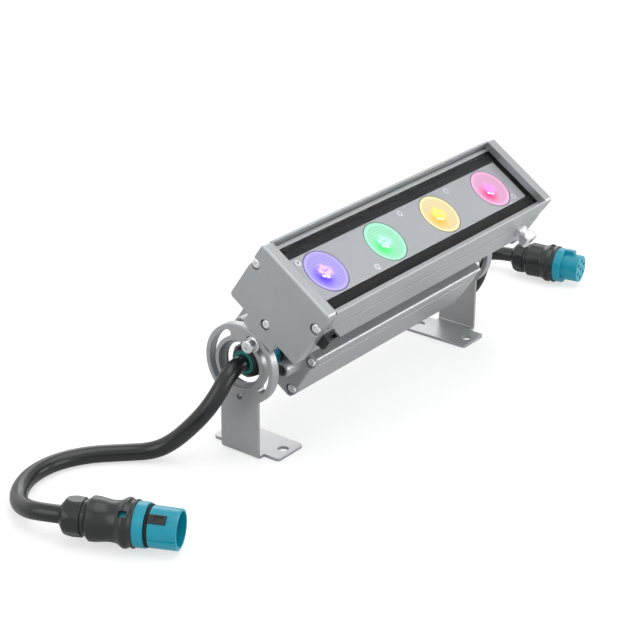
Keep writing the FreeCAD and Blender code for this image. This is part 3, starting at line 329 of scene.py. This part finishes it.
# extruded rubber cable jacket: near black with a clear highlight along it and a faintly uneven skin
jacket = {
    "colour": "#131415",
    "worn": "#1B1C1D",
    "roughness": 0.22,
    "spread": 0.1,
    "patch": 14,  # mm across the uneven patches
    "grain": 1.1,  # mm
    "height": 0.012,  # mm
}


def makeJacket():
    material, tree = newMaterial("extrudedRubberJacket")
    place = addNode(tree, "ShaderNodeTexCoord")
    cloud = addNode(tree, "ShaderNodeTexNoise", values={"Scale": perMetre(jacket["patch"]), "Detail": 4.0},
                    links={"Vector": place.outputs["Object"]})
    colour = addNode(tree, "ShaderNodeMix", {"data_type": "RGBA"},
                     {6: linear(jacket["colour"]), 7: linear(jacket["worn"])}, {0: cloud.outputs["Fac"]})
    dull = addNode(tree, "ShaderNodeMapRange", values={
        "To Min": jacket["roughness"], "To Max": jacket["roughness"] + jacket["spread"]},
        links={"Value": cloud.outputs["Fac"]})
    grain = addNode(tree, "ShaderNodeTexNoise", values={"Scale": perMetre(jacket["grain"]), "Detail": 3.0},
                    links={"Vector": place.outputs["Object"]})
    bump = addNode(tree, "ShaderNodeBump", values={
        "Strength": grainStrength, "Distance": jacket["height"] * mm}, links={"Height": grain.outputs["Fac"]})
    shader = addNode(tree, "ShaderNodeBsdfPrincipled", links={
        "Base Color": colour.outputs[2], "Roughness": dull.outputs[0], "Normal": bump.outputs[0]})
    addNode(tree, "ShaderNodeOutputMaterial", links={"Surface": shader.outputs[0]})
    return material


rubberJacket = makeJacket()
for lead in (leadLeft, leadRight):
    lead.data.materials.append(rubberJacket)
dress(rubberJacket, "inner_leads")
print("cable jackets done")


# lenses: injection-moulded acrylic filled with the light of the coloured LED under them, which is painted
# into the colour with a weak glow: a pale glossy painted colour of that light with a fine pillow texture, a
# painted pool of strong colour low on the near side where the LED shows through with two painted white
# glints, a paler painted patch of light over the middle, and a painted highlight ring with a painted shade
# line round the rim
lensTints = {
    # per lens: the painted colour of its LED's light, the painted pool of LED colour and the painted pale
    # patch of light
    "lens_1": {"name": "violet", "x": -0.1101, "paintedLedTint": "#9389C8", "glow": "#3C0AD8", "cloud": "#E8B8EE"},
    "lens_2": {"name": "green", "x": -0.0367, "paintedLedTint": "#86C4A4", "glow": "#1FCB58", "cloud": "#AEEBDC"},
    "lens_3": {"name": "amber", "x": 0.0367, "paintedLedTint": "#C6B88A", "glow": "#DE9A10", "cloud": "#EDE34A"},
    "lens_4": {"name": "pink", "x": 0.1101, "paintedLedTint": "#BE8CAB", "glow": "#CC0E66", "cloud": "#EE84DC"},
}
lensOptics = {
    "top": (-0.04936, 0.1481),  # y and z of the lens faces
    "radius": 18.4,  # mm, as are the rest
    # painted light of the LED seen through the lens, in mm on the lens face: a pool of strong colour, a pale
    # patch and two white glints
    "glow": {"place": (-5.8, -3.4, 0), "inner": 1.0, "reach": 12.5},
    "cloud": {"place": (-0.5, 0.6, 0), "inner": 3.0, "reach": 9.0},
    "paintedLedGlint": {"place": (-5.0, -2.6, 0), "inner": 0.6, "reach": 1.9},
    "paintedLedGlintTwo": {"place": (-1.6, -4.6, 0), "inner": 0.4, "reach": 1.9},
    "pillow": 2.4,  # the real texture is near 1 mm, drawn coarser so that it shows
    "pillowWobble": 0.6,
    # size and spread of the mottle in the painted pale patch of light
    "paintedPatchMottle": 3.6,
    "paintedPatchRange": (0.38, 0.56),
    # a painted highlight ring and a painted shade line round the rim
    "ring": (0.84, 0.88),  # shares of the radius, as is the next
    "edge": (0.94, 1.0),
    # pillow is the texture's darker tone; ring lightens as a painted highlight, edge darkens as painted shade
    "pillowToneAndPaintedRimLight": {"pillow": 0.62, "ring": 1.2, "edge": 0.5},
    "roughness": 0.12,
    "index": 1.49,
    "clear": 0.22,
    # strength of the glow of the painted colours, and the extra at the painted white glints
    "glowing": 0.26,
    "paintedGlintGlowing": 0.9,
}
waveRepeat = math.pi / 10  # how often a wave texture repeats at a scale of 1


def makeLensAcrylic(lens):
    material, tree = newMaterial("acrylicWithPaintedLedLight" + lens["name"].capitalize())
    place = addNode(tree, "ShaderNodeTexCoord")
    local = addNode(tree, "ShaderNodeMapping", {"vector_type": "TEXTURE"}, {
        "Location": (lens["x"], *lensOptics["top"]), "Rotation": (tiltAngle, 0, 0), "Scale": (mm, mm, mm)},
        {"Vector": place.outputs["Object"]})
    flat = addNode(tree, "ShaderNodeVectorMath", {"operation": "MULTIPLY"}, {1: (1, 1, 0)},
                   {0: local.outputs[0]}).outputs[0]
    # masks of the painted light: the pool of LED colour, the pale patch and the two white glints
    paintedLightSpots = {}
    for name in ("glow", "cloud", "paintedLedGlint", "paintedLedGlintTwo"):
        paintedLightSpot = lensOptics[name]
        away = addNode(tree, "ShaderNodeVectorMath", {"operation": "DISTANCE"}, {1: paintedLightSpot["place"]}, {0: flat})
        paintedLightSpots[name] = addNode(tree, "ShaderNodeMapRange", {"interpolation_type": "SMOOTHSTEP"}, {
            "From Min": paintedLightSpot["inner"], "From Max": paintedLightSpot["reach"], "To Min": 1.0, "To Max": 0.0},
            {"Value": away.outputs["Value"]}).outputs[0]
    rows = [addNode(tree, "ShaderNodeTexWave", {"bands_direction": way},
                    {"Scale": waveRepeat / lensOptics["pillow"], "Distortion": lensOptics["pillowWobble"],
                     "Detail": 0.0}, {"Vector": flat}).outputs["Fac"] for way in ("X", "Y")]
    pillow = addNode(tree, "ShaderNodeMath", {"operation": "MULTIPLY"}, links={0: rows[0], 1: rows[1]})
    paintedPatchNoise = addNode(tree, "ShaderNodeTexNoise", values={"Scale": 1 / lensOptics["paintedPatchMottle"], "Detail": 4.0},
                   links={"Vector": flat})
    paintedPatchShape = addNode(tree, "ShaderNodeMapRange", values={
        "From Min": lensOptics["paintedPatchRange"][0], "From Max": lensOptics["paintedPatchRange"][1]},
        links={"Value": paintedPatchNoise.outputs["Fac"]})
    cloud = addNode(tree, "ShaderNodeMath", {"operation": "MULTIPLY"},
                    links={0: paintedPatchShape.outputs[0], 1: paintedLightSpots["cloud"]})
    paintedLedGlints = addNode(tree, "ShaderNodeMath", {"operation": "MAXIMUM"},
                   links={0: paintedLightSpots["paintedLedGlint"], 1: paintedLightSpots["paintedLedGlintTwo"]})
    fromAxis = addNode(tree, "ShaderNodeVectorMath", {"operation": "LENGTH"}, links={0: flat})
    # masks of the painted highlight ring and the painted shade line at the rim
    paintedRimHighlightAndShade = [addNode(tree, "ShaderNodeMapRange", values={
        "From Min": lensOptics["radius"] * start, "From Max": lensOptics["radius"] * end},
        links={"Value": fromAxis.outputs["Value"]}).outputs[0]
        for start, end in (lensOptics["ring"], lensOptics["edge"])]

    # the pale base colour is painted light of the coloured LED
    pale = linear(lens["paintedLedTint"])
    pillowToneAndPaintedRimLight = {name: [c * share for c in pale[:3]] + [1] for name, share in lensOptics["pillowToneAndPaintedRimLight"].items()}
    under = addNode(tree, "ShaderNodeRGB")
    under.outputs[0].default_value = pale
    colour = under.outputs[0]
    # layered over the painted LED colour: the texture's darker tone, the painted pool, pale patch and white
    # glints, then the painted highlight ring and shade line
    for factor, over in ((pillow.outputs[0], pillowToneAndPaintedRimLight["pillow"]), (paintedLightSpots["glow"], linear(lens["glow"])),
                         (cloud.outputs[0], linear(lens["cloud"])), (paintedLedGlints.outputs[0], linear("#FFFFFF")),
                         (paintedRimHighlightAndShade[0], pillowToneAndPaintedRimLight["ring"]), (paintedRimHighlightAndShade[1], pillowToneAndPaintedRimLight["edge"])):
        colour = addNode(tree, "ShaderNodeMix", {"data_type": "RGBA"}, {7: over},
                         {0: factor, 6: colour}).outputs[2]

    shader = addNode(tree, "ShaderNodeBsdfPrincipled", values={
        "Roughness": lensOptics["roughness"], "IOR": lensOptics["index"],
        "Transmission Weight": lensOptics["clear"]}, links={"Base Color": colour})
    # a weak glow of all the painted colours, stronger at the painted white glints
    strength = addNode(tree, "ShaderNodeMath", {"operation": "MULTIPLY_ADD"},
                       {1: lensOptics["paintedGlintGlowing"], 2: lensOptics["glowing"]}, {0: paintedLedGlints.outputs[0]})
    light = addNode(tree, "ShaderNodeEmission", links={"Color": colour, "Strength": strength.outputs[0]})
    both = addNode(tree, "ShaderNodeAddShader", links={0: shader.outputs[0], 1: light.outputs[0]})
    addNode(tree, "ShaderNodeOutputMaterial", links={"Surface": both.outputs[0]})
    return material


for name, lens in lensTints.items():
    dress(makeLensAcrylic(lens), name)


# LED packages: fired ceramic, pale and satin, that glows white
ledCeramic = {"colour": "#EFEFE8", "roughness": 0.4, "glow": "#FFFFFF", "glowing": 3.0}


def makeLedCeramic():
    material, tree = newMaterial("ledCeramic")
    shader = addNode(tree, "ShaderNodeBsdfPrincipled", values={
        "Base Color": linear(ledCeramic["colour"]), "Roughness": ledCeramic["roughness"]})
    light = addNode(tree, "ShaderNodeEmission", values={
        "Color": linear(ledCeramic["glow"]), "Strength": ledCeramic["glowing"]})
    both = addNode(tree, "ShaderNodeAddShader", links={0: shader.outputs[0], 1: light.outputs[0]})
    addNode(tree, "ShaderNodeOutputMaterial", links={"Surface": both.outputs[0]})
    return material


dress(makeLedCeramic(), "leds")


# toughened low-iron float glass with a non-reflecting coating: clear, without a green cast, and
# with only a faint mirror image, because the low index stands for the coating; shadow rays pass
# straight through, so the light reaches the reflector plate
lowIronGlass = {"colour": "#FCFCFD", "shadow": "#F7F7F9", "index": 1.12}


def makeGlass():
    material, tree = newMaterial("toughenedLowIronGlass")
    shader = addNode(tree, "ShaderNodeBsdfPrincipled", values={
        "Base Color": linear(lowIronGlass["colour"]), "Roughness": 0.0, "IOR": lowIronGlass["index"],
        "Transmission Weight": 1.0})
    through = addNode(tree, "ShaderNodeBsdfTransparent", values={"Color": linear(lowIronGlass["shadow"])})
    rays = addNode(tree, "ShaderNodeLightPath")
    pane = addNode(tree, "ShaderNodeMixShader", links={
        0: rays.outputs["Is Shadow Ray"], 1: shader.outputs[0], 2: through.outputs[0]})
    addNode(tree, "ShaderNodeOutputMaterial", links={"Surface": pane.outputs[0]})
    return material


dress(makeGlass(), "front_glass")
print("lenses and glass done")


# studio: a pale paper floor, five soft boxes round the lamp and an even surround that is white to
# the camera and to polished and clear faces
studio = {
    "surround": 0.5,  # light of the surround on the lamp
    "backdrop": 1.0,  # what the camera and polished faces see of it
    "floorHalf": 8,
    "floorColour": "#F4F4F4",
    "floorShare": 0.55,  # how much of the lit paper stays under the white, which keeps the shadow
    "floorWhite": 0.621,  # plain white over it for the camera
    "floorMirrored": 0.27,  # and for polished and clear faces
    "aim": (0, 0, 0.08),
    "boxes": [
        {"name": "overheadBox", "place": (0.1, -0.3, 1.7), "size": 1.6, "watts": 14},
        {"name": "leftBox", "place": (-1.7, 0.5, 1.0), "size": 1.2, "watts": 7},
        {"name": "rightBox", "place": (1.5, -1.35, 0.42), "size": 0.7, "watts": 12},
        {"name": "frontBox", "place": (0.2, -2.0, 0.3), "size": 0.9, "watts": 7},
        {"name": "backBox", "place": (1.7, 1.5, 1.1), "size": 1.3, "watts": 10},
    ],
}


def makeStudio():
    half = studio["floorHalf"]
    floorMesh = bpy.data.meshes.new("studioFloor")
    floorMesh.from_pydata([(-half, -half, 0), (half, -half, 0), (half, half, 0), (-half, half, 0)], [],
                          [(0, 1, 2, 3)])
    floor = bpy.data.objects.new("studioFloor", floorMesh)
    bpy.context.scene.collection.objects.link(floor)
    material, tree = newMaterial("studioPaper")
    rays = addNode(tree, "ShaderNodeLightPath")
    mirrored = addNode(tree, "ShaderNodeMath", {"operation": "MAXIMUM"}, links={
        0: rays.outputs["Is Glossy Ray"], 1: rays.outputs["Is Transmission Ray"]})
    seen = addNode(tree, "ShaderNodeMath", {"operation": "MAXIMUM"}, links={
        0: rays.outputs["Is Camera Ray"], 1: mirrored.outputs[0]})
    whiteSeen = addNode(tree, "ShaderNodeMapRange", values={
        "To Min": studio["floorMirrored"], "To Max": studio["floorWhite"]},
        links={"Value": rays.outputs["Is Camera Ray"]})
    strength = addNode(tree, "ShaderNodeMath", {"operation": "MULTIPLY"},
                       links={0: whiteSeen.outputs[0], 1: seen.outputs[0]})
    share = addNode(tree, "ShaderNodeMapRange", values={"To Min": 1.0, "To Max": studio["floorShare"]},
                    links={"Value": seen.outputs[0]})
    colour = addNode(tree, "ShaderNodeMix", {"data_type": "RGBA"},
                     {6: (0, 0, 0, 1), 7: linear(studio["floorColour"])}, {0: share.outputs[0]})
    paper = addNode(tree, "ShaderNodeBsdfDiffuse", links={"Color": colour.outputs[2]})
    white = addNode(tree, "ShaderNodeEmission", values={"Color": (1, 1, 1, 1)},
                    links={"Strength": strength.outputs[0]})
    both = addNode(tree, "ShaderNodeAddShader", links={0: paper.outputs[0], 1: white.outputs[0]})
    addNode(tree, "ShaderNodeOutputMaterial", links={"Surface": both.outputs[0]})
    floorMesh.materials.append(material)

    world = bpy.data.worlds.new("studioSurround")
    world.use_nodes = True
    tree = world.node_tree
    tree.nodes.clear()
    rays = addNode(tree, "ShaderNodeLightPath")
    seen = addNode(tree, "ShaderNodeMath", {"operation": "MAXIMUM"}, links={
        0: rays.outputs["Is Camera Ray"], 1: rays.outputs["Is Transmission Ray"]})
    seenToo = addNode(tree, "ShaderNodeMath", {"operation": "MAXIMUM"}, links={
        0: seen.outputs[0], 1: rays.outputs["Is Glossy Ray"]})
    strength = addNode(tree, "ShaderNodeMapRange", values={
        "To Min": studio["surround"], "To Max": studio["backdrop"]}, links={"Value": seenToo.outputs[0]})
    sky = addNode(tree, "ShaderNodeBackground", values={"Color": (1, 1, 1, 1)},
                  links={"Strength": strength.outputs[0]})
    addNode(tree, "ShaderNodeOutputWorld", links={"Surface": sky.outputs[0]})
    bpy.context.scene.world = world

    for box in studio["boxes"]:
        data = bpy.data.lights.new(box["name"], "AREA")
        data.size = box["size"]
        data.energy = box["watts"]
        lamp = bpy.data.objects.new(box["name"], data)
        lamp.location = box["place"]
        fromAim = Vector(box["place"]) - Vector(studio["aim"])
        lamp.rotation_mode = "QUATERNION"
        lamp.rotation_quaternion = fromAim.to_track_quat("Z", "Y")
        bpy.context.scene.collection.objects.link(lamp)
    bpy.context.scene.view_settings.view_transform = "Standard"


makeStudio()
print("studio lit")

bpy.context.view_layer.update()
